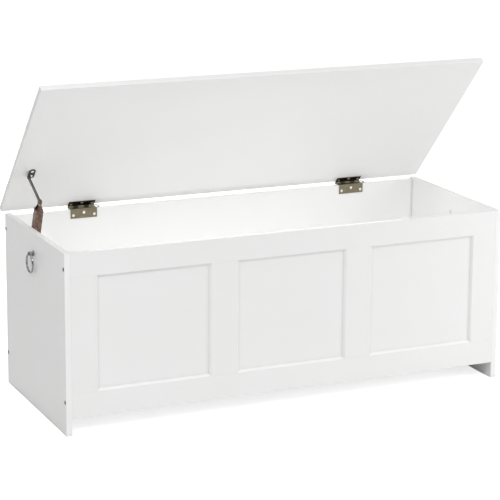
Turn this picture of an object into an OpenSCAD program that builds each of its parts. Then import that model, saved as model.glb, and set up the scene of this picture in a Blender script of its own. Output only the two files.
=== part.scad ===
// Storage bench: a panelled chest with a hinged seat lid, a folding lid stay and a ring pull at each end.
// Frame: X along the bench, Y towards its back, Z up. The origin lies on the floor,
// at the middle of the plan outline with the lid held open at lid_open.
// Parts are drawn in box coordinates: x from the left outer face, y from the front face, z from the floor.

/* [Box] */
// Width over the side panels
box_w = 1182; // [900:1:1400]
// Depth over the side panels
box_d = 459; // [400:1:520]
// Height of the side panels
box_h = 448; // [420:1:520]
// Thickness of every full board
board_t = 15; // [15:0.5:18]
// Height of the front's lower edge above the floor
toe_gap = 42.5; // [30:0.5:48]

/* [Front] */
// Width of each of the three recessed fields, between the mouldings' outer edges
opening_w = 295.5; // [200:0.5:296]
// Height of each recessed field
opening_h = 285; // [220:0.5:300]
// Height of the top rail
top_rail_h = 59; // [45:0.5:70]
// Width of the two middle stiles
mid_stile_w = 68.4; // [50:0.1:90]
// Width of the sloping moulding round each field
moulding_w = 6; // [4:0.5:10]
// Depth to which the moulding slopes
moulding_drop = 5; // [2:0.1:5.1]
// Depth of an inset's face behind the front face
inset_drop = 5.6; // [5.2:0.1:6]
// Thickness of an inset
inset_t = 6; // [4:0.5:8]
// Length of the stub tenon at each end of a stile
tenon_len = 10; // [6:1:14]

/* [Bottom] */
// Height of the bottom board's underside
bottom_z = 50; // [48:1:60]
// Diameter of a dowel
dowel_d = 8; // [6:1:8]
// Length of a dowel
dowel_len = 24; // [20:1:28]
// Depth of a dowel in an upright board
dowel_in = 10; // [8:1:11]

/* [Lid] */
// Overhang of the lid at each end
lid_overhang = 9; // [0:0.5:20]
// Depth of the lid, front to back
lid_d = 500; // [470:1:520]
// Angle at which the lid is held open
lid_open = 46.8; // [0:0.1:66]
// Gap between the closed lid and the side panels
lid_gap = 0.3; // [0.2:0.1:0.6]

/* [Lid hinges] */
// Distance from each end of the box to the middle of a hinge
hinge_in = 206; // [120:1:300]
// Width of a hinge
hinge_w = 71.5; // [60:0.5:90]
// Thickness of hinge sheet
sheet_t = 1.5; // [1.2:0.1:1.8]
// Outer radius of a knuckle
knuckle_r = 3; // [2.8:0.1:3.2]
// Radius of the hinge pin
hinge_pin_r = 1.5; // [1.2:0.1:1.7]
// Reach of the lid leaf from the lid's rear edge
lid_leaf_len = 16.7; // [15:0.1:24]
// Drop of the back leaf below the side panels' top
back_leaf_drop = 27.5; // [25:0.5:32]

/* [Lid stay] */
// Width of the channel link
channel_w = 19; // [17:0.5:22]
// Depth of the channel link
channel_depth = 18; // [16:0.5:20]
// Sheet thickness of the channel link and brackets
stay_sheet_t = 1.5; // [1.2:0.1:1.6]
// Width of the flat arm
arm_w = 9; // [8:0.5:10]
// Thickness of the flat arm
arm_t = 3; // [2.5:0.1:3]
// Radius of the stay's rivets
rivet_r = 2; // [1.5:0.1:2.5]
// Radius of the stud that the channel slides on
stud_r = 3; // [2.5:0.1:3.5]

/* [Ring pulls] */
// Outer diameter of a ring
ring_d = 52; // [45:1:60]
// Diameter of the ring's wire
ring_wire_d = 5; // [4:0.5:6]
// Height of a ring's middle
ring_z = 373; // [340:1:390]
// Distance of a ring's middle from the front face
ring_y = 229.5; // [200:0.5:260]
// Stand-off from the panel to the wire's middle
ring_off = 10; // [9:0.5:14]

/* [Hidden] */
$fn = 64;
eps = 0.01;
running_gap = 0.06;
sink_clear = 0.08;

// front frame
inner_w = box_w - 2 * board_t;
rail_top_z = box_h - top_rail_h;
rail_low_z = rail_top_z - opening_h;
end_stile_w = (inner_w - 3 * opening_w - 2 * mid_stile_w) / 2;
opening_pitch = opening_w + mid_stile_w;
function opening_x(i) = board_t + end_stile_w + i * opening_pitch;
inset_slack = 0.5;
tenon_margin = 6;

// side panel screws
panel_screw_low = 83;
panel_screw_high = 409;
panel_screw_head_r = 5;
panel_screw_head_h = 1.2;
panel_screw_r = 3.2;
panel_screw_len = 50;
hex_socket_r = 2.3;

// dowels
end_dowel_ys = [110, 230, 350];
side_dowel_xs = [150, 444, 738, 1032];
bottom_mid_z = bottom_z + board_t / 2;

// lid, hinges: the axis lies behind the back panel, and the strip wraps over the panel's top edge
back_top_z = box_h - 4;
back_in_y = box_d - board_t;
axis_y = box_d + 7.5;
axis_z = back_top_z + 2;
lid_under_z = box_h + lid_gap;
lid_rear_y = axis_y - knuckle_r - 0.5;
knuckles = 5;
knuckle_gap = 0.3;
hinge_xs = [hinge_in, box_w - hinge_in];
leaf_screw_x = 28.3;
leaf_screw_r = 1.8;
leaf_screw_head_r = 3.7;
leaf_screw_proud = 0.7;
leaf_screw_len = 12;
lid_screw_reach = [6.5, 11.2];
back_screw_drop = [19.3, 13.2];
pin_tail = 5;
pin_bend_r = 3;
pin_hook = 13;

// plan outline at lid_open, for the origin
rear_y = axis_y - (axis_y - lid_rear_y) * cos(lid_open)
    + (lid_under_z + board_t - axis_z) * sin(lid_open);
mid_y = rear_y / 2;

// stay: points in the [y, z] plane with the lid held open
stay_reach = 162;
stay_drop = 12;
stay_x = board_t + 13.5;
function opened(p) = [
    axis_y + (p[0] - axis_y) * cos(lid_open) + (p[1] - axis_z) * sin(lid_open),
    axis_z - (p[0] - axis_y) * sin(lid_open) + (p[1] - axis_z) * cos(lid_open)
];
lid_pivot = opened([lid_rear_y - stay_reach, lid_under_z - stay_drop]);
elbow = [261, 516];
ground = [310.5, 392.5];
arm_len = norm(lid_pivot - elbow);
arm_tilt = atan2(lid_pivot[1] - elbow[1], lid_pivot[0] - elbow[0]);
channel_tilt = atan2(ground[1] - elbow[1], ground[0] - elbow[0]);
arm_eye = 0.7;
ear_r = 6;
ear_gap = 0.4;
ear_x = arm_t / 2 + ear_gap;
neck_top = 11;
shoulder = 22;
channel_end = 158;
slot_from = 106.4;
slot_to = 149.8;
slot_clear = 0.4;
rib_w = 3;
rib_h = 0.5;
web_front = -8;
rivet_head_r = 4;
rivet_head_h = 1.2;
stud_plate = [48, 18, 2];
stud_screw_y = 18;
stay_screw_r = 1.8;
stay_screw_head_r = 4;
stay_plate_w = 17;
stay_ear_foot = 22;
stay_plate_from = 144;
stay_plate_to = 178;
stay_hole_reach = [151, stay_plate_to - stay_plate_w / 2];
lid_ear_x = stay_x + arm_t / 2 + 1;

// ring pulls
ring_r = (ring_d - ring_wire_d) / 2;
wire_r = ring_wire_d / 2;
eye_z = ring_z + ring_r;
eye_r = 5.5;
eye_w = 6;
eye_clear = 0.4;
rose_r = 7;
rose_h = 2.5;
neck_r = 3.5;
pull_screw_r = 2;
pull_screw_in = 6;
pull_screw_head_r = 4;
pull_screw_head_h = 2;

WHITE = "#f1f1ee";
BRONZE = "#6b6452";
DARK_BRONZE = "#2d2a20";
BROWN_BRONZE = "#5c4a3d";
NICKEL = "#c6c2b0";
CHROME = "#d4d6d8";
DARK_STEEL = "#3b3a38";
BEECH = "#d8b888";

// ---------- placing ----------

// box coordinates to the bench's own frame
module placed() {
    translate([-box_w / 2, -mid_y, 0]) children();
}

// a part of the lid, drawn with the lid closed
module on_lid() {
    placed()
        translate([0, axis_y, axis_z]) rotate([-lid_open, 0, 0]) translate([0, -axis_y, -axis_z])
        children();
}

// the right-hand twin of something drawn at the left end
module twin(right) {
    if (right) translate([box_w, 0, 0]) mirror([1, 0, 0]) children();
    else children();
}

module block(low, high) {
    translate(low) cube(high - low);
}

// a rod along X between two x values, at [y, z]
module rod_x(x0, x1, at, r) {
    translate([x0, at[0], at[1]]) rotate([0, 90, 0]) cylinder(h = x1 - x0, r = r);
}

module rod_y(y0, y1, x, z, r) {
    translate([x, y0, z]) rotate([-90, 0, 0]) cylinder(h = y1 - y0, r = r);
}

// an outline in the [y, z] plane, extruded along X between two x values
module slab_x(x0, x1) {
    translate([x0, 0, 0]) rotate([90, 0, 90]) linear_extrude(x1 - x0) children();
}

// ---------- boards ----------

module panel_screw_places() {
    for (y = [board_t / 2, box_d - board_t / 2], z = [panel_screw_low, panel_screw_high])
        translate([0, y, z]) rotate([0, 90, 0]) children();
}

// head and shank of one connecting screw, along +Z from its head
module panel_screw_body() {
    cylinder(h = panel_screw_head_h, r = panel_screw_head_r);
    cylinder(h = panel_screw_len, r = panel_screw_r);
}

module panel_screws(right) {
    twin(right) panel_screw_places() difference() {
        panel_screw_body();
        translate([0, 0, -eps]) cylinder(h = panel_screw_head_h, r = hex_socket_r, $fn = 6);
    }
}

module both_panel_screw_holes() {
    for (right = [false, true]) twin(right) panel_screw_places() panel_screw_body();
}

module dowels() {
    for (right = [false, true], y = end_dowel_ys)
        twin(right) rod_x(board_t - dowel_in, board_t - dowel_in + dowel_len, [y, bottom_mid_z], dowel_d / 2);
    for (x = side_dowel_xs) {
        rod_y(board_t - dowel_in, board_t - dowel_in + dowel_len, x, bottom_mid_z, dowel_d / 2);
        rod_y(back_in_y + dowel_in - dowel_len, back_in_y + dowel_in, x, bottom_mid_z, dowel_d / 2);
    }
}

module side_panel(right) {
    difference() {
        twin(right) block([0, 0, 0], [board_t, box_d, box_h]);
        both_panel_screw_holes();
        dowels();
        twin(right) rod_x(-1, board_t + 1, [ring_y, eye_z], pull_screw_r);
        if (!right) stud_screw_places() cylinder(h = 20, r = stay_screw_r, center = true);
    }
}

module back_panel() {
    color(WHITE) placed() difference() {
        block([board_t, back_in_y, toe_gap], [box_w - board_t, box_d, back_top_z]);
        both_panel_screw_holes();
        dowels();
        for (x = hinge_xs) back_screw_places(x) cylinder(h = leaf_screw_len, r = leaf_screw_r);
    }
}

module bottom_panel() {
    color(WHITE) placed() difference() {
        block([board_t, board_t, bottom_z], [box_w - board_t, back_in_y, bottom_z + board_t]);
        dowels();
    }
}

module side_panel_left() { color(WHITE) placed() side_panel(false); }
module side_panel_right() { color(WHITE) placed() side_panel(true); }
module panel_screws_left() { color(DARK_STEEL) placed() panel_screws(false); }
module panel_screws_right() { color(DARK_STEEL) placed() panel_screws(true); }
module bottom_dowels() { color(BEECH) placed() dowels(); }

// ---------- front frame ----------

// one side of a field's surround, drawn as if along the field's lower edge, from x = 0 to len:
// the sloping moulding in front of the inset and the square lip behind it, mitred at both ends
module surround_side(len) {
    intersection() {
        slab_x(0, len) {
            polygon([[0, 0], [moulding_drop, moulding_w], [inset_drop, moulding_w], [inset_drop, 0]]);
            translate([inset_drop + inset_t, 0]) square([board_t - inset_drop - inset_t, moulding_w]);
        }
        translate([0, board_t, 0]) rotate([90, 0, 0]) linear_extrude(board_t)
            polygon([[0, 0], [len, 0], [len - moulding_w, moulding_w], [moulding_w, moulding_w]]);
    }
}

module lower_sides() {
    for (i = [0:2]) translate([opening_x(i), 0, rail_low_z]) surround_side(opening_w);
}

module upper_sides() {
    for (i = [0:2]) translate([opening_x(i), 0, rail_top_z]) mirror([0, 0, 1]) surround_side(opening_w);
}

// the surround on a field's left side, and on its right side
module left_side(i) {
    translate([opening_x(i), 0, rail_low_z]) mirror([1, 0, 0]) rotate([0, -90, 0]) surround_side(opening_h);
}

module right_side(i) {
    translate([opening_x(i) + opening_w, 0, rail_low_z]) rotate([0, -90, 0]) surround_side(opening_h);
}

// left edge and width of stile i, from 0 at the left end to 3 at the right end
function stile_x(i) = i == 0 ? board_t : opening_x(i - 1) + opening_w;
function stile_w(i) = (i == 0 || i == 3) ? end_stile_w : mid_stile_w;

module tenons(i, slack) {
    for (z = [rail_low_z - tenon_len, rail_top_z])
        block([stile_x(i) + tenon_margin - slack, inset_drop - slack, z - slack],
            [stile_x(i) + stile_w(i) - tenon_margin + slack, inset_drop + inset_t + slack,
                z + tenon_len + slack]);
}

module stile(i) {
    color(WHITE) placed() {
        block([stile_x(i), 0, rail_low_z], [stile_x(i) + stile_w(i), board_t, rail_top_z]);
        tenons(i, 0);
        if (i > 0) right_side(i - 1);
        if (i < 3) left_side(i);
    }
}

module inset(i) {
    color(WHITE) placed()
        block([opening_x(i) + inset_slack, inset_drop, rail_low_z + inset_slack],
            [opening_x(i) + opening_w - inset_slack, inset_drop + inset_t, rail_top_z - inset_slack]);
}

module front_top_rail() {
    color(WHITE) placed() difference() {
        union() {
            block([board_t, 0, rail_top_z], [box_w - board_t, board_t, box_h]);
            upper_sides();
        }
        for (i = [0:3]) tenons(i, 0.2);
        both_panel_screw_holes();
    }
}

module front_bottom_rail() {
    color(WHITE) placed() difference() {
        union() {
            block([board_t, 0, toe_gap], [box_w - board_t, board_t, rail_low_z]);
            lower_sides();
        }
        for (i = [0:3]) tenons(i, 0.2);
        both_panel_screw_holes();
        dowels();
    }
}

module front_stile_left() { stile(0); }
module front_stile_mid_left() { stile(1); }
module front_stile_mid_right() { stile(2); }
module front_stile_right() { stile(3); }
module front_inset_left() { inset(0); }
module front_inset_middle() { inset(1); }
module front_inset_right() { inset(2); }

// ---------- screws ----------

// a cross-head wood screw along -Z: the head's rim lies at z = 0 and its crown stands proud above
module wood_screw(head_r, proud, sink, r, len) {
    crown_r = (head_r * head_r + proud * proud) / (2 * proud);
    difference() {
        rotate_extrude() difference() {
            union() {
                intersection() {
                    translate([0, proud - crown_r]) circle(crown_r, $fn = 128);
                    square([head_r, proud]);
                }
                polygon([[0, 0], [head_r, 0], [r, -sink], [r, -len], [0, -len]]);
            }
            translate([-2 * head_r, -2 * len]) square([2 * head_r, 4 * len]);
        }
        for (a = [0, 90]) rotate([0, 0, a])
            translate([-head_r * 0.55, -head_r * 0.11, proud - 0.7]) cube([head_r * 1.1, head_r * 0.22, 2]);
    }
}

// the hole for such a screw through a sheet of thickness t, a little wider than the screw all the way
module countersink(t, r, head_r) {
    translate([0, 0, -t - eps])
        cylinder(h = t + 2 * eps, r1 = r + sink_clear, r2 = head_r + sink_clear);
}

module leaf_screw() {
    wood_screw(leaf_screw_head_r, leaf_screw_proud, sheet_t, leaf_screw_r, leaf_screw_len);
}

module leaf_screw_sink() {
    countersink(sheet_t, leaf_screw_r, leaf_screw_head_r);
}

// ---------- lid hinges ----------

// two outer holes and one middle hole, as [offset along the hinge, which of the two rows]
leaf_holes = [[-leaf_screw_x, 0], [0, 1], [leaf_screw_x, 0]];

// on the lid leaf, with +Z pointing down out of the leaf's lower face
module lid_screw_places(x) {
    for (h = leaf_holes)
        translate([x + h[0], lid_rear_y - lid_screw_reach[h[1]], lid_under_z - sheet_t])
            rotate([180, 0, 0]) children();
}

// on the back leaf, with +Z pointing back into the panel from the leaf's front face
module back_screw_places(x) {
    for (h = leaf_holes)
        translate([x + h[0], back_in_y - sheet_t, box_h - back_screw_drop[h[1]]])
            rotate([-90, 0, 0]) children();
}

// knuckle k of a hinge centred on x, with the tab that joins it to its leaf's sheet at height z
module knuckle(x, k, sheet_z, sheet_y) {
    pitch = hinge_w / knuckles;
    x0 = x - hinge_w / 2 + k * pitch + knuckle_gap / 2;
    x1 = x0 + pitch - knuckle_gap;
    rod_x(x0, x1, [axis_y, axis_z], knuckle_r);
    block([x0, sheet_y, sheet_z], [x1, axis_y, sheet_z + sheet_t]);
}

module hinge_lid_leaf(x) {
    color(DARK_BRONZE) on_lid() difference() {
        union() {
            block([x - hinge_w / 2, lid_rear_y - lid_leaf_len, lid_under_z - sheet_t],
                [x + hinge_w / 2, lid_rear_y - 0.2, lid_under_z]);
            for (k = [1, 3]) knuckle(x, k, lid_under_z - sheet_t, lid_rear_y - 1);
        }
        rod_x(x - hinge_w, x + hinge_w, [axis_y, axis_z], hinge_pin_r + running_gap);
        lid_screw_places(x) leaf_screw_sink();
    }
}

module hinge_back_leaf(x) {
    x0 = x - hinge_w / 2;
    x1 = x + hinge_w / 2;
    color(BRONZE) placed() difference() {
        union() {
            block([x0, back_in_y - sheet_t, box_h - back_leaf_drop], [x1, back_in_y, back_top_z + sheet_t]);
            block([x0, back_in_y - sheet_t, back_top_z], [x1, lid_rear_y, back_top_z + sheet_t]);
            for (k = [0, 2, 4]) knuckle(x, k, back_top_z, lid_rear_y - 1);
        }
        rod_x(x - hinge_w, x + hinge_w, [axis_y, axis_z], hinge_pin_r);
        back_screw_places(x) mirror([0, 0, 1]) leaf_screw_sink();
    }
}

// the pin's right end turns forward over the back panel's top edge
module hinge_pin(x) {
    x1 = x + hinge_w / 2 + pin_tail;
    color(BRONZE) placed() {
        rod_x(x - hinge_w / 2 - 0.5, x1, [axis_y, axis_z], hinge_pin_r);
        translate([x1, axis_y - pin_bend_r, axis_z]) rotate_extrude(angle = 90)
            translate([pin_bend_r, 0]) circle(hinge_pin_r);
        rod_y(axis_y - pin_bend_r - pin_hook, axis_y - pin_bend_r, x1 + pin_bend_r, axis_z, hinge_pin_r);
    }
}

module hinge_lid_screws(x) {
    color(NICKEL) on_lid() lid_screw_places(x) leaf_screw();
}

module hinge_back_screws(x) {
    color(NICKEL) placed() back_screw_places(x) mirror([0, 0, 1]) leaf_screw();
}

module hinge_lid_leaf_left() { hinge_lid_leaf(hinge_xs[0]); }
module hinge_lid_leaf_right() { hinge_lid_leaf(hinge_xs[1]); }
module hinge_lid_screws_left() { hinge_lid_screws(hinge_xs[0]); }
module hinge_lid_screws_right() { hinge_lid_screws(hinge_xs[1]); }
module hinge_back_leaf_left() { hinge_back_leaf(hinge_xs[0]); }
module hinge_back_leaf_right() { hinge_back_leaf(hinge_xs[1]); }
module hinge_back_screws_left() { hinge_back_screws(hinge_xs[0]); }
module hinge_back_screws_right() { hinge_back_screws(hinge_xs[1]); }
module hinge_pin_left() { hinge_pin(hinge_xs[0]); }
module hinge_pin_right() { hinge_pin(hinge_xs[1]); }

// ---------- lid ----------

module lid_board() {
    color(WHITE) on_lid() difference() {
        block([-lid_overhang, lid_rear_y - lid_d, lid_under_z],
            [box_w + lid_overhang, lid_rear_y, lid_under_z + board_t]);
        for (x = hinge_xs) lid_screw_places(x)
            translate([0, 0, -leaf_screw_len]) cylinder(h = leaf_screw_len, r = leaf_screw_r);
        lid_bracket_screw_places()
            translate([0, 0, -leaf_screw_len]) cylinder(h = leaf_screw_len, r = stay_screw_r);
    }
}

// ---------- lid stay ----------

// with +Z pointing down out of the bracket's plate
module lid_bracket_screw_places() {
    for (reach = stay_hole_reach)
        translate([lid_ear_x + stay_plate_w / 2, lid_rear_y - reach, lid_under_z - stay_sheet_t])
            rotate([180, 0, 0]) children();
}

module stay_screw() {
    wood_screw(stay_screw_head_r, leaf_screw_proud, stay_sheet_t, stay_screw_r, leaf_screw_len);
}

module stay_screw_sink() {
    countersink(stay_sheet_t, stay_screw_r, stay_screw_head_r);
}

module stay_lid_bracket() {
    pivot = [lid_rear_y - stay_reach, lid_under_z - stay_drop];
    plate_x = lid_ear_x + stay_plate_w / 2;
    round_y = lid_rear_y - stay_hole_reach[1];
    color(DARK_BRONZE) on_lid() difference() {
        union() {
            block([lid_ear_x, round_y, lid_under_z - stay_sheet_t],
                [lid_ear_x + stay_plate_w, lid_rear_y - stay_plate_from, lid_under_z]);
            translate([plate_x, round_y, lid_under_z - stay_sheet_t])
                cylinder(h = stay_sheet_t, r = stay_plate_w / 2);
            slab_x(lid_ear_x, lid_ear_x + stay_sheet_t) hull() {
                translate(pivot) circle(ear_r, $fn = 32);
                translate([pivot[0] - stay_ear_foot / 2, lid_under_z - stay_sheet_t])
                    square([stay_ear_foot, stay_sheet_t]);
            }
        }
        rod_x(lid_ear_x - 1, lid_ear_x + 3, pivot, rivet_r);
        lid_bracket_screw_places() stay_screw_sink();
    }
}

module stay_lid_screws() {
    color(NICKEL) on_lid() lid_bracket_screw_places() stay_screw();
}

module stay_lid_rivet() {
    arm_x0 = stay_x - arm_t / 2;
    far_x = lid_ear_x + stay_sheet_t;
    color(BROWN_BRONZE) placed() {
        rod_x(arm_x0 - 0.2 - rivet_head_h, arm_x0 - 0.2, lid_pivot, rivet_head_r);
        rod_x(arm_x0 - 0.2 - eps, far_x + eps, lid_pivot, rivet_r);
        rod_x(stay_x + arm_t / 2 + 0.1, lid_ear_x, lid_pivot, rivet_head_r - 0.5);
        rod_x(far_x, far_x + rivet_head_h, lid_pivot, rivet_head_r);
    }
}

// children are drawn in the link's own plane: first axis along the link, second across it
module along_link(at, tilt, x0, x1) {
    translate([0, at[0], at[1]]) rotate([tilt, 0, 0]) slab_x(x0, x1) children();
}

module stay_arm() {
    x0 = stay_x - arm_t / 2;
    x1 = stay_x + arm_t / 2;
    color(BRONZE) placed() difference() {
        union() {
            along_link(elbow, arm_tilt, x0, x1) translate([0, -arm_w / 2]) square([arm_len, arm_w]);
            for (p = [elbow, lid_pivot]) rod_x(x0, x1, p, arm_w / 2 + arm_eye);
        }
        for (p = [elbow, lid_pivot]) rod_x(x0 - 1, x1 + 1, p, rivet_r + running_gap);
    }
}

// one tapering neck between a flange and its ear; side is -1 or 1
module channel_neck(side) {
    hull() {
        translate([side > 0 ? ear_x : -ear_x - stay_sheet_t, neck_top, -ear_r])
            cube([stay_sheet_t, eps, 2 * ear_r]);
        translate([side > 0 ? channel_w / 2 - stay_sheet_t : -channel_w / 2, shoulder, web_front])
            cube([stay_sheet_t, eps, ear_r - web_front]);
    }
}

// the web's tongue, narrowing from the channel's full width to the two ears
module channel_tongue() {
    hull() {
        translate([-channel_w / 2, shoulder, web_front]) cube([channel_w, eps, stay_sheet_t]);
        translate([-ear_x - stay_sheet_t, neck_top - 2, -ear_r])
            cube([2 * (ear_x + stay_sheet_t), eps, stay_sheet_t]);
    }
}

// drawn with the elbow at the origin, Y along the channel and the web on the low-Z side
module channel_shape() {
    flange_x = channel_w / 2 - stay_sheet_t;
    flange_z1 = web_front + channel_depth;
    difference() {
        union() {
            block([-channel_w / 2, shoulder, web_front],
                [channel_w / 2, channel_end, web_front + stay_sheet_t]);
            channel_tongue();
            for (side = [-1, 1]) {
                translate([side * (flange_x + stay_sheet_t / 2) - stay_sheet_t / 2, shoulder, web_front])
                    cube([stay_sheet_t, channel_end - shoulder, channel_depth]);
                channel_neck(side);
                translate([side > 0 ? ear_x : -ear_x - stay_sheet_t, 0, 0]) {
                    rotate([0, 90, 0]) cylinder(h = stay_sheet_t, r = ear_r);
                    translate([0, 0, -ear_r]) cube([stay_sheet_t, neck_top, 2 * ear_r]);
                }
            }
        }
        rotate([0, 90, 0]) cylinder(h = channel_w + 2, r = rivet_r, center = true);
        for (y = [slot_from, slot_to]) translate([0, y, 0])
            rotate([0, 90, 0]) cylinder(h = channel_w + 2, r = stud_r + slot_clear, center = true);
        translate([-channel_w / 2 - 1, slot_from, -stud_r - slot_clear])
            cube([channel_w + 2, slot_to - slot_from, 2 * (stud_r + slot_clear)]);
        for (x = [-channel_w / 4, channel_w / 4])
            translate([x - rib_w / 2, shoulder + 8, web_front - eps])
                cube([rib_w, channel_end - shoulder - 16, rib_h + eps]);
        translate([-channel_w, channel_end - 4, flange_z1]) rotate([-45, 0, 0]) cube([2 * channel_w, 12, 12]);
    }
}

module stay_channel() {
    color(BROWN_BRONZE) placed()
        translate([stay_x, elbow[0], elbow[1]]) rotate([channel_tilt, 0, 0]) channel_shape();
}

module stay_elbow_rivet() {
    outer = ear_x + stay_sheet_t;
    color(BROWN_BRONZE) placed() {
        rod_x(stay_x - outer - rivet_head_h, stay_x - outer, elbow, rivet_head_r);
        rod_x(stay_x - outer - eps, stay_x + outer + eps, elbow, rivet_r);
        rod_x(stay_x + outer, stay_x + outer + rivet_head_h, elbow, rivet_head_r);
    }
}

// on the left side panel, with +Z pointing into the box
module stud_screw_places() {
    for (dy = [-stud_screw_y, stud_screw_y])
        translate([board_t + stud_plate[2], ground[0] + dy, ground[1]]) rotate([0, 90, 0]) children();
}

module stay_stud_bracket() {
    shoulder_x = stay_x - channel_w / 2 - 0.3;
    washer_x = stay_x + channel_w / 2 + 0.3;
    color(BROWN_BRONZE) placed() difference() {
        union() {
            block([board_t, ground[0] - stud_plate[0] / 2, ground[1] - stud_plate[1] / 2],
                [board_t + stud_plate[2], ground[0] + stud_plate[0] / 2, ground[1] + stud_plate[1] / 2]);
            rod_x(board_t + stud_plate[2], shoulder_x, ground, stud_r + 2);
            rod_x(shoulder_x - eps, washer_x + 2.5, ground, stud_r);
        }
        stud_screw_places() countersink(stud_plate[2], stay_screw_r, stay_screw_head_r);
    }
}

module stay_stud_screws() {
    color(NICKEL) placed() stud_screw_places()
        wood_screw(stay_screw_head_r, leaf_screw_proud, stud_plate[2], stay_screw_r, 10);
}

module stay_stud_washer() {
    washer_x = stay_x + channel_w / 2 + 0.3;
    color(NICKEL) placed() difference() {
        rod_x(washer_x, washer_x + 1.2, ground, stud_r + 3.5);
        rod_x(washer_x - 1, washer_x + 3, ground, stud_r);
    }
}

// ---------- ring pulls ----------

module ring_post(right) {
    color(CHROME) placed() twin(right) difference() {
        union() {
            rod_x(-rose_h, 0, [ring_y, eye_z], rose_r);
            rod_x(-ring_off, -rose_h + eps, [ring_y, eye_z], neck_r);
            translate([-ring_off, ring_y, eye_z]) intersection() {
                sphere(eye_r);
                cube([3 * eye_r, eye_w, 3 * eye_r], center = true);
            }
        }
        rod_y(ring_y - eye_r, ring_y + eye_r, -ring_off, eye_z, wire_r + eye_clear);
        rod_x(-pull_screw_in, 1, [ring_y, eye_z], pull_screw_r);
    }
}

module ring_post_screw(right) {
    color(NICKEL) placed() twin(right) difference() {
        union() {
            rod_x(-pull_screw_in, board_t + eps, [ring_y, eye_z], pull_screw_r);
            rod_x(board_t, board_t + pull_screw_head_h, [ring_y, eye_z], pull_screw_head_r);
        }
        for (a = [0, 90]) translate([board_t + pull_screw_head_h, ring_y, eye_z]) rotate([a, 0, 0])
            cube([1.6, 1, pull_screw_head_r * 1.2], center = true);
    }
}

module ring(right) {
    color(CHROME) placed() twin(right)
        translate([-ring_off, ring_y, ring_z]) rotate([0, 90, 0])
        rotate_extrude($fn = 96) translate([ring_r, 0]) circle(wire_r);
}

module ring_post_left() { ring_post(false); }
module ring_post_right() { ring_post(true); }
module ring_post_screw_left() { ring_post_screw(false); }
module ring_post_screw_right() { ring_post_screw(true); }
module ring_left() { ring(false); }
module ring_right() { ring(true); }

side_panel_left();
side_panel_right();
back_panel();
bottom_panel();
front_top_rail();
front_bottom_rail();
front_stile_left();
front_stile_mid_left();
front_stile_mid_right();
front_stile_right();
front_inset_left();
front_inset_middle();
front_inset_right();
panel_screws_left();
panel_screws_right();
bottom_dowels();
hinge_back_leaf_left();
hinge_back_leaf_right();
hinge_pin_left();
hinge_pin_right();
hinge_back_screws_left();
hinge_back_screws_right();
stay_stud_bracket();
stay_stud_screws();
stay_stud_washer();
ring_post_left();
ring_post_right();
ring_post_screw_left();
ring_post_screw_right();
lid_board();
hinge_lid_leaf_left();
hinge_lid_leaf_right();
hinge_lid_screws_left();
hinge_lid_screws_right();
stay_lid_bracket();
stay_lid_screws();
stay_lid_rivet();
stay_arm();
stay_channel();
stay_elbow_rivet();
ring_left();
ring_right();
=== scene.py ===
"""Storage bench with its seat lid held open: the looks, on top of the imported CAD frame.

Every CAD piece keeps its own mesh. This script rounds its edges with modifiers, gives it a procedural
material, and adds the studio: a pale floor, soft lights and the camera.
"""
import math

import bpy
from mathutils import Matrix, Vector


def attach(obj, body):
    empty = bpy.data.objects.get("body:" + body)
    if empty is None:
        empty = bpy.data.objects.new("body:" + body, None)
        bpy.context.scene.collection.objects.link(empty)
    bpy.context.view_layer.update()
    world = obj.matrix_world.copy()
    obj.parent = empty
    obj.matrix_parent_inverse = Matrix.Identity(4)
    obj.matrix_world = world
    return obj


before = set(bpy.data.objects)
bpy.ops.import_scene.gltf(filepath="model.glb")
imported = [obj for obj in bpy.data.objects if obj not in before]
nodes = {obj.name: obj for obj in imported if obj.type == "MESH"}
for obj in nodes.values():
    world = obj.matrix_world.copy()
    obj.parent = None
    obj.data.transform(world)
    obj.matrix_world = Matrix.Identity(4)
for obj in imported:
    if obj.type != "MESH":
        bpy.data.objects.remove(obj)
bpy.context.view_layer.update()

MM = 0.001


# ---------- shader helpers ----------

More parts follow.
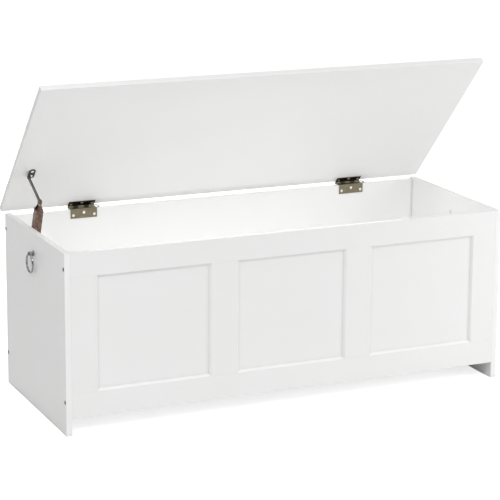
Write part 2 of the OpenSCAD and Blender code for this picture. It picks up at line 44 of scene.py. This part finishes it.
class Shader:
    """A material with one Principled shader, and short calls for the nodes that feed it."""

    def __init__(self, name):
        self.material = bpy.data.materials.new(name)
        self.material.use_nodes = True
        self.tree = self.material.node_tree
        self.tree.nodes.clear()
        self.surface = self.add("ShaderNodeBsdfPrincipled")
        output = self.add("ShaderNodeOutputMaterial")
        self.link(self.surface.outputs["BSDF"], output.inputs["Surface"])
        self.place = self.add("ShaderNodeTexCoord").outputs["Object"]

    def add(self, kind, **settings):
        node = self.tree.nodes.new(kind)
        for key, value in settings.items():
            setattr(node, key, value)
        return node

    def link(self, output, socket):
        self.tree.links.new(output, socket)

    def fill(self, socket, value):
        """A socket takes another node's output or a plain value."""
        if isinstance(value, bpy.types.NodeSocket):
            self.link(value, socket)
        else:
            socket.default_value = value

    def set(self, **values):
        for name, value in values.items():
            self.fill(self.surface.inputs[name.replace("_", " ")], value)

    def stretched(self, x=1.0, y=1.0, z=1.0):
        """The object's own coordinates, scaled along each axis, so that a noise on them makes streaks."""
        node = self.add("ShaderNodeMapping")
        self.link(self.place, node.inputs["Vector"])
        node.inputs["Scale"].default_value = (x, y, z)
        return node.outputs["Vector"]

    def noise(self, scale, detail=2.0, roughness=0.5, place=None):
        node = self.add("ShaderNodeTexNoise")
        self.link(place or self.place, node.inputs["Vector"])
        node.inputs["Scale"].default_value = scale
        node.inputs["Detail"].default_value = detail
        node.inputs["Roughness"].default_value = roughness
        return node.outputs["Fac"]

    def range(self, value, low, high, to_low, to_high):
        node = self.add("ShaderNodeMapRange", clamp=True)
        for name, amount in zip(("Value", "From Min", "From Max", "To Min", "To Max"),
                                (value, low, high, to_low, to_high)):
            self.fill(node.inputs[name], amount)
        return node.outputs["Result"]

    def math(self, operation, a, b):
        node = self.add("ShaderNodeMath", operation=operation)
        self.fill(node.inputs[0], a)
        self.fill(node.inputs[1], b)
        return node.outputs["Value"]

    def mix(self, amount, first, second):
        node = self.add("ShaderNodeMix", data_type="RGBA")
        self.fill(node.inputs["Factor"], amount)
        for socket, colour in ((node.inputs[6], first), (node.inputs[7], second)):
            self.fill(socket, colour if isinstance(colour, bpy.types.NodeSocket) else (*colour, 1.0))
        return node.outputs[2]

    def edges(self, radius, softness=0.25):
        """0 on flat stretches and 1 on edges and corners, from the difference a rounded normal makes."""
        rounded = self.add("ShaderNodeBevel", samples=4)
        rounded.inputs["Radius"].default_value = radius
        flat = self.add("ShaderNodeNewGeometry")
        turn = self.add("ShaderNodeVectorMath", operation="DOT_PRODUCT")
        self.link(rounded.outputs["Normal"], turn.inputs[0])
        self.link(flat.outputs["True Normal"], turn.inputs[1])
        return self.range(turn.outputs["Value"], 1.0 - softness, 1.0, 1.0, 0.0)

    def creases(self, reach, samples=6):
        """1 in open places, falling towards 0 in corners narrower than reach. It ignores rounded normals."""
        node = self.add("ShaderNodeAmbientOcclusion", samples=samples)
        node.inputs["Distance"].default_value = reach
        flat = self.add("ShaderNodeNewGeometry")
        self.link(flat.outputs["True Normal"], node.inputs["Normal"])
        return node.outputs["AO"]

    def bump(self, *layers):
        """Each layer is (height output, depth in metres)."""
        normal = None
        for height, depth in layers:
            node = self.add("ShaderNodeBump")
            node.inputs["Strength"].default_value = 1.0
            node.inputs["Distance"].default_value = depth
            self.link(height, node.inputs["Height"])
            if normal is not None:
                self.link(normal, node.inputs["Normal"])
            normal = node.outputs["Normal"]
        self.link(normal, self.surface.inputs["Normal"])


# ---------- materials ----------

# Painted shade: an occlusion mask darkens the white finishes in tight corners and along the mouldings. These
# set its reach, its amount and the shaded tone.
CORNER_REACH = 9 * MM
CORNER_SHADE = 0.7
CORNER_SHADE_TONE = 0.72
RUBBED_EDGE = 0.7 * MM


def white_finish(name, tone, gloss_low, gloss_high, peel_size, peel_depth):
    """A white board finish: slight clouding, a fine sprayed or pressed texture, and painted shade that
    darkens the tight corners and mouldings.
    """
    s = Shader(name)
    cloud = s.range(s.noise(7.0, 3.0), 0.3, 0.7, 0.0, 1.0)
    warm = tuple(c * k for c, k in zip(tone, (0.992, 0.99, 0.984)))
    body = s.mix(cloud, tone, warm)
    fleck = s.range(s.noise(1400.0, 1.0), 0.62, 0.8, 0.0, 0.16)
    flecked = s.mix(fleck, body, tuple(c * 0.93 for c in tone))
    # painted shade: the finish goes darker in corners and mouldings where the occlusion mask closes in
    corner_shade = s.range(s.creases(CORNER_REACH), 0.45, 0.97, CORNER_SHADE, 0.0)
    s.set(Base_Color=s.mix(corner_shade, flecked, tuple(c * CORNER_SHADE_TONE for c in tone)))
    s.set(Roughness=s.range(s.noise(38.0, 4.0, 0.6), 0.3, 0.7, gloss_low, gloss_high))
    s.set(Specular_IOR_Level=0.42)
    peel = s.noise(1.0 / peel_size, 2.0, 0.55)
    wave = s.noise(45.0, 1.0)
    s.bump((wave, 0.05 * MM), (peel, peel_depth))
    return s.material


def aged_metal(name, deep, body, worn, rough_low, rough_high, grain=(1.0, 14.0, 14.0)):
    """Plated sheet with a dark wash in noise blotches and streaks, rubbed off along the edges."""
    s = Shader(name)
    blotch = s.range(s.noise(160.0, 5.0, 0.6), 0.35, 0.68, 0.0, 1.0)
    streak = s.noise(420.0, 3.0, 0.6, s.stretched(*grain))
    wash = s.math("MULTIPLY", blotch, s.range(streak, 0.3, 0.7, 0.45, 1.0))
    colour = s.mix(wash, deep, body)
    rubbed = s.math("MULTIPLY", s.edges(RUBBED_EDGE), s.range(s.noise(330.0, 3.0), 0.35, 0.6, 0.25, 1.0))
    s.set(Base_Color=s.mix(rubbed, colour, worn))
    s.set(Metallic=1.0)
    s.set(Roughness=s.range(streak, 0.25, 0.75, rough_low, rough_high))
    s.bump((streak, 0.012 * MM), (s.noise(900.0, 2.0), 0.01 * MM))
    return s.material


def bright_metal(name, tone, rough_low, rough_high, smear_scale=90.0):
    """Polished plating with faint smears and rub marks."""
    s = Shader(name)
    smear = s.noise(smear_scale, 4.0, 0.65)
    dull = tuple(c * 0.9 for c in tone)
    s.set(Base_Color=s.mix(s.range(smear, 0.4, 0.75, 0.0, 1.0), tone, dull))
    s.set(Metallic=1.0)
    s.set(Roughness=s.range(smear, 0.3, 0.75, rough_low, rough_high))
    s.bump((s.noise(260.0, 2.0), 0.006 * MM))
    return s.material


def beech_wood(name):
    """Pale dowel wood, with its grain along X."""
    s = Shader(name)
    grain = s.noise(260.0, 4.0, 0.6, s.stretched(0.08, 1.0, 1.0))
    pore = s.noise(900.0, 2.0, 0.5, s.stretched(0.05, 1.0, 1.0))
    tone = s.mix(s.range(grain, 0.3, 0.7, 0.0, 1.0), (0.62, 0.43, 0.25), (0.74, 0.56, 0.36))
    s.set(Base_Color=s.mix(s.range(pore, 0.6, 0.75, 0.0, 0.4), tone, (0.42, 0.27, 0.15)))
    s.set(Roughness=s.range(grain, 0.3, 0.7, 0.62, 0.5))
    s.bump((pore, 0.03 * MM))
    return s.material


WHITE = (0.93, 0.93, 0.928)
PAINTED = (0.9, 0.9, 0.898)
MATERIALS = {
    "white_board": white_finish("white_board", WHITE, 0.36, 0.44, 1.3 * MM, 0.014 * MM),
    "white_front": white_finish("white_front", PAINTED, 0.32, 0.4, 2.2 * MM, 0.02 * MM),
    "white_inset": white_finish("white_inset", PAINTED, 0.32, 0.4, 2.2 * MM, 0.02 * MM),
    "white_lid": white_finish("white_lid", WHITE, 0.34, 0.42, 1.3 * MM, 0.014 * MM),
    "olive_bronze": aged_metal("olive_bronze", (0.21, 0.185, 0.125), (0.29, 0.26, 0.185), (0.6, 0.56, 0.44),
                               0.32, 0.45),
    # dark_bronze is the hinge bronze in a far darker tone: painted shade for the leaves that face down under
    # the open lid
    "dark_bronze": aged_metal("dark_bronze", (0.028, 0.025, 0.016), (0.075, 0.07, 0.048), (0.35, 0.33, 0.26),
                              0.3, 0.42),
    "arm_bronze": aged_metal("arm_bronze", (0.08, 0.072, 0.058), (0.17, 0.155, 0.125), (0.42, 0.38, 0.32),
                             0.3, 0.42, grain=(14.0, 2.0, 2.0)),
    "brown_bronze": aged_metal("brown_bronze", (0.08, 0.048, 0.037), (0.36, 0.24, 0.19),
                               (0.66, 0.47, 0.4), 0.24, 0.36, grain=(14.0, 1.0, 1.0)),
    "nickel": bright_metal("nickel", (0.86, 0.83, 0.74), 0.3, 0.42, 400.0),
    "chrome": bright_metal("chrome", (0.34, 0.35, 0.36), 0.03, 0.1),
    "dark_steel": bright_metal("dark_steel", (0.05, 0.048, 0.045), 0.3, 0.45, 500.0),
    "beech": beech_wood("beech"),
}


# ---------- rounding the CAD pieces ----------

def long_hard_edges():
    """A modifier group that joins split corners and marks long, hard edges for bevelling: not bore rims."""
    group = bpy.data.node_groups.new("long_hard_edges", "GeometryNodeTree")
    group.interface.new_socket("Geometry", in_out="INPUT", socket_type="NodeSocketGeometry")
    group.interface.new_socket("Geometry", in_out="OUTPUT", socket_type="NodeSocketGeometry")
    add, link = group.nodes.new, group.links.new
    start, end = add("NodeGroupInput"), add("NodeGroupOutput")
    merge = add("GeometryNodeMergeByDistance")
    merge.inputs["Distance"].default_value = 0.001 * MM
    angle = add("GeometryNodeInputMeshEdgeAngle")
    hard = add("FunctionNodeCompare")
    hard.operation = "GREATER_THAN"
    hard.inputs["B"].default_value = math.radians(15)
    ends = add("GeometryNodeInputMeshEdgeVertices")
    length = add("ShaderNodeVectorMath")
    length.operation = "DISTANCE"
    long = add("FunctionNodeCompare")
    long.operation = "GREATER_THAN"
    long.inputs["B"].default_value = 5 * MM
    both = add("FunctionNodeBooleanMath")
    mark = add("GeometryNodeStoreNamedAttribute")
    mark.data_type = "FLOAT"
    mark.domain = "EDGE"
    mark.inputs["Name"].default_value = "bevel_weight_edge"
    link(start.outputs[0], merge.inputs["Geometry"])
    link(angle.outputs["Unsigned Angle"], hard.inputs["A"])
    link(ends.outputs["Position 1"], length.inputs[0])
    link(ends.outputs["Position 2"], length.inputs[1])
    link(length.outputs["Value"], long.inputs["A"])
    link(hard.outputs[0], both.inputs[0])
    link(long.outputs[0], both.inputs[1])
    link(merge.outputs["Geometry"], mark.inputs["Geometry"])
    link(both.outputs[0], mark.inputs["Value"])
    link(mark.outputs["Geometry"], end.inputs[0])
    return group


EDGE_GROUP = long_hard_edges()


def rounded(name, width, segments=2):
    """Rounds the long edges of a CAD piece and shades it from its large faces."""
    piece = nodes[name]
    piece.modifiers.new("edges", "NODES").node_group = EDGE_GROUP
    bevel = piece.modifiers.new("bevel", "BEVEL")
    bevel.width = width
    bevel.segments = segments
    bevel.limit_method = "WEIGHT"
    bevel.use_clamp_overlap = False
    shade = piece.modifiers.new("shade", "WEIGHTED_NORMAL")
    shade.keep_sharp = False
    shade.weight = 100


def finish_node(name):
    """The record's material slot of a CAD node, turned into this script's material of the same name."""
    piece = nodes[name]
    slot = piece.material_slots[0].material.name.split(".")[0]
    piece.material_slots[0].material = MATERIALS[slot]


for name in nodes:
    finish_node(name)

BOARDS = ["side_panel_left", "side_panel_right", "back_panel", "bottom_panel"]
FRONT = [n for n in nodes if n.startswith("front_")]
BOARD_ROUND = 0.6 * MM
LID_ROUND = 0.9 * MM
FRONT_ROUND = 0.3 * MM
for name in BOARDS:
    rounded(name, BOARD_ROUND)
rounded("lid_board", LID_ROUND, 3)
for name in FRONT:
    rounded(name, FRONT_ROUND)


# ---------- studio ----------

FLOOR_HALF = 60.0
FLOOR_TONE = 0.9
FLOOR_GLOW = 0.68
WORLD_GLOW = 0.27
CARD_POWER = 1.1
# what gloss mirrors, as (place, brightness): from -X to +X, and from the horizon to overhead
SIDE_CARDS = [(0.0, 0.01), (0.4, 0.02), (0.48, 1.0), (1.0, 1.0)]
HIGH_CARDS = [(0.0, 0.0), (0.5, 0.0), (0.6, 1.0), (1.0, 1.0)]

CAMERA_PLACE = (-2.0298, -4.4599, 1.578)
CAMERA_YAW, CAMERA_PITCH, CAMERA_ROLL = 24.37, 12.38, 0.39
CAMERA_LENS = 141.75
CAMERA_SHIFT = -0.12

# name, side, height, spread, power
FAR_LIGHTS = [
    ("high_front", 0, 45, 10, 0.37),
    ("window", -10, 30, 30, 0.17),
    ("key", 60, 28, 14, 0.28),
    ("top", 0, 75, 12, 0.34),
    ("left_high", -40, 42, 14, 0.13),
]
# name, place, target, size, power
SOFT_LIGHTS = [
    ("left_box", (-2.1, -1.9, 2.3), (-0.3, -0.2, 0.3), (1.0, 1.0), 24.0),
    ("right_box", (1.5, -1.1, 0.5), (0.3, -0.2, 0.3), (0.7, 0.7), 5.2),
    ("back_box", (0.0, 3.0, 1.6), (0.0, 0.0, 0.3), (1.1, 1.4), 46.0),
    ("inner_fill", (-0.04, 0.0, 0.12), (-0.04, 0.001, 1.0), (0.96, 0.36), 0.72),
]
# lights the boards' top edges from below the lid, and moves with the lid
EDGE_LIGHT = ("edge_light", (0.02, 0.06, 0.56), (0.02, -0.24, 0.448), (0.9, 0.06), 0.46)


def aim(obj, target):
    obj.rotation_euler = (Vector(target) - obj.location).to_track_quat("-Z", "Y").to_euler()


def soft_light(name, place, target, size, power):
    """A soft box in metres, aimed at a target. The camera doesn't see it."""
    data = bpy.data.lights.new(name, "AREA")
    data.shape = "RECTANGLE"
    data.size, data.size_y = size
    data.energy = power
    light = bpy.data.objects.new(name, data)
    light.location = place
    light.visible_camera = False
    bpy.context.scene.collection.objects.link(light)
    aim(light, target)
    return light


def far_light(name, side, height, spread, power):
    """A broad light from far away. Side is its angle from the front towards the right; all are in degrees."""
    data = bpy.data.lights.new(name, "SUN")
    data.angle = math.radians(spread)
    data.energy = power
    light = bpy.data.objects.new(name, data)
    side, height = math.radians(side), math.radians(height)
    light.location = (math.sin(side) * math.cos(height), -math.cos(side) * math.cos(height), math.sin(height))
    bpy.context.scene.collection.objects.link(light)
    aim(light, (0.0, 0.0, 0.0))


def studio_floor():
    """A pale floor, far larger than the view, that glows faintly for the camera only."""
    half = FLOOR_HALF
    mesh = bpy.data.meshes.new("studio_floor")
    mesh.from_pydata([(-half, -half, 0), (half, -half, 0), (half, half, 0), (-half, half, 0)], [],
                     [(0, 1, 2, 3)])
    floor = bpy.data.objects.new("studio_floor", mesh)
    bpy.context.scene.collection.objects.link(floor)
    s = Shader("studio_floor")
    s.set(Base_Color=(FLOOR_TONE, FLOOR_TONE, FLOOR_TONE, 1.0), Roughness=0.8, Specular_IOR_Level=0.1)
    s.set(Emission_Color=(1.0, 1.0, 1.0, 1.0))
    s.link(s.math("MULTIPLY", s.add("ShaderNodeLightPath").outputs["Is Camera Ray"], FLOOR_GLOW),
           s.surface.inputs["Emission Strength"])
    mesh.materials.append(s.material)


def ramp(tree, value, stops):
    """A value turned into a brightness, by a ramp of (place, brightness) stops."""
    node = tree.nodes.new("ShaderNodeValToRGB")
    elements = node.color_ramp.elements
    while len(elements) < len(stops):
        elements.new(1.0)
    for element, (place, grey) in zip(elements, stops):
        element.position = place
        element.color = (grey, grey, grey, 1.0)
    tree.links.new(value, node.inputs["Fac"])
    return node.outputs["Color"]


def studio_world():
    """White to the camera, an even glow as a light, and dark flags and bright cards for gloss to mirror."""
    world = bpy.data.worlds.new("studio")
    world.use_nodes = True
    tree = world.node_tree
    tree.nodes.clear()
    add, link = tree.nodes.new, tree.links.new
    output = add("ShaderNodeOutputWorld")
    seen, lighting, mirrored = (add("ShaderNodeBackground") for _ in range(3))
    unseen, choice = add("ShaderNodeMixShader"), add("ShaderNodeMixShader")
    ray = add("ShaderNodeLightPath")
    direction = add("ShaderNodeSeparateXYZ")
    link(add("ShaderNodeTexCoord").outputs["Generated"], direction.inputs[0])
    lighter = add("ShaderNodeMix")
    lighter.data_type = "RGBA"
    lighter.blend_type = "LIGHTEN"
    lighter.inputs["Factor"].default_value = 1.0
    across = add("ShaderNodeMapRange")
    across.inputs["From Min"].default_value = -1.0
    link(direction.outputs["X"], across.inputs["Value"])
    link(ramp(tree, across.outputs["Result"], SIDE_CARDS), lighter.inputs[6])
    link(ramp(tree, direction.outputs["Z"], HIGH_CARDS), lighter.inputs[7])
    link(lighter.outputs[2], mirrored.inputs["Color"])
    mirrored.inputs["Strength"].default_value = CARD_POWER
    seen.inputs["Color"].default_value = (1.0, 1.0, 1.0, 1.0)
    lighting.inputs["Color"].default_value = (1.0, 1.0, 1.0, 1.0)
    lighting.inputs["Strength"].default_value = WORLD_GLOW
    link(ray.outputs["Is Glossy Ray"], unseen.inputs["Fac"])
    link(lighting.outputs["Background"], unseen.inputs[1])
    link(mirrored.outputs["Background"], unseen.inputs[2])
    link(ray.outputs["Is Camera Ray"], choice.inputs["Fac"])
    link(unseen.outputs["Shader"], choice.inputs[1])
    link(seen.outputs["Background"], choice.inputs[2])
    link(choice.outputs["Shader"], output.inputs["Surface"])
    bpy.context.scene.world = world


def studio_camera():
    """The main view, with a vertical shift that keeps the uprights parallel."""
    yaw, pitch, roll = (math.radians(a) for a in (CAMERA_YAW, CAMERA_PITCH, CAMERA_ROLL))
    data = bpy.data.cameras.new("camera")
    data.lens = CAMERA_LENS
    data.sensor_width = 36.0
    data.shift_y = CAMERA_SHIFT
    data.clip_end = 100.0
    camera = bpy.data.objects.new("camera", data)
    turn = (Matrix.Rotation(-yaw, 4, "Z") @ Matrix.Rotation(math.radians(90) - pitch, 4, "X")
            @ Matrix.Rotation(roll, 4, "Z"))
    camera.matrix_world = Matrix.Translation(CAMERA_PLACE) @ turn
    bpy.context.scene.collection.objects.link(camera)
    bpy.context.scene.camera = camera


studio_floor()
studio_world()
studio_camera()
bpy.context.scene.view_settings.view_transform = "Standard"
for settings in FAR_LIGHTS:
    far_light(*settings)
for settings in SOFT_LIGHTS:
    soft_light(*settings)
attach(soft_light(*EDGE_LIGHT), "lid")
